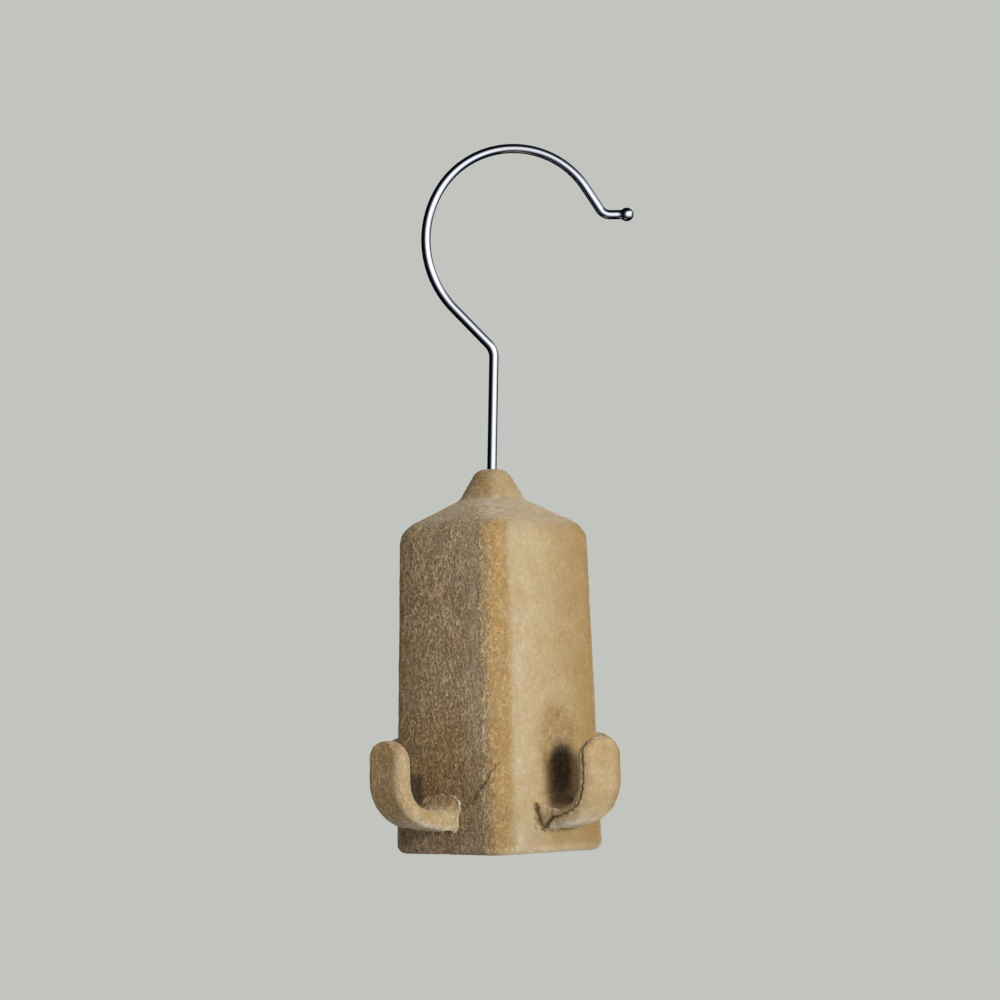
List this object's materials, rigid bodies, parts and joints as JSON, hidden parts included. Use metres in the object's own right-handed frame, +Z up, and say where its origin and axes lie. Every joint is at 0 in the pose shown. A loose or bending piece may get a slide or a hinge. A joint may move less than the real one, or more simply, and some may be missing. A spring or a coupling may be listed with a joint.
{
  "type": "accessory hanger",
  "caption": "Hanging accessory organiser: a flocked square body with upturned hooks round its base, turning freely under a chromed wire hook that hangs on a wardrobe rail.",
  "frame": {"origin": "on the swivel axis, on the underside of the wire bow, where the rail bears", "axes": "+Z up along the swivel axis; X and Y square to the body's faces at rest, with the bow turned 42 degrees from +X towards -Y"},
  "size_m": [0.1012, 0.1012, 0.2372],
  "materials": {
    "chromed_wire": "polished chrome plate",
    "spring_steel": "plain zinc-grey spring steel",
    "flocked_plastic": "flocked, beige velvet nap"
  },
  "bodies": {
    "wire_hook": {"swivel_hook": "chromed_wire", "retaining_washer": "spring_steel", "push_nut": "spring_steel"},
    "hanging_body": {"body_shell": "flocked_plastic", "accessory_hook_front": "flocked_plastic", "accessory_hook_right": "flocked_plastic", "accessory_hook_back": "flocked_plastic", "accessory_hook_left": "flocked_plastic"}
  },
  "joints": [
    {"name": "hook_swivel", "type": "hinge", "parent": "wire_hook", "child": "hanging_body", "pos_m": [0, 0, -0.10631], "axis": [0, 0, 1], "continuous": true}
  ]
}
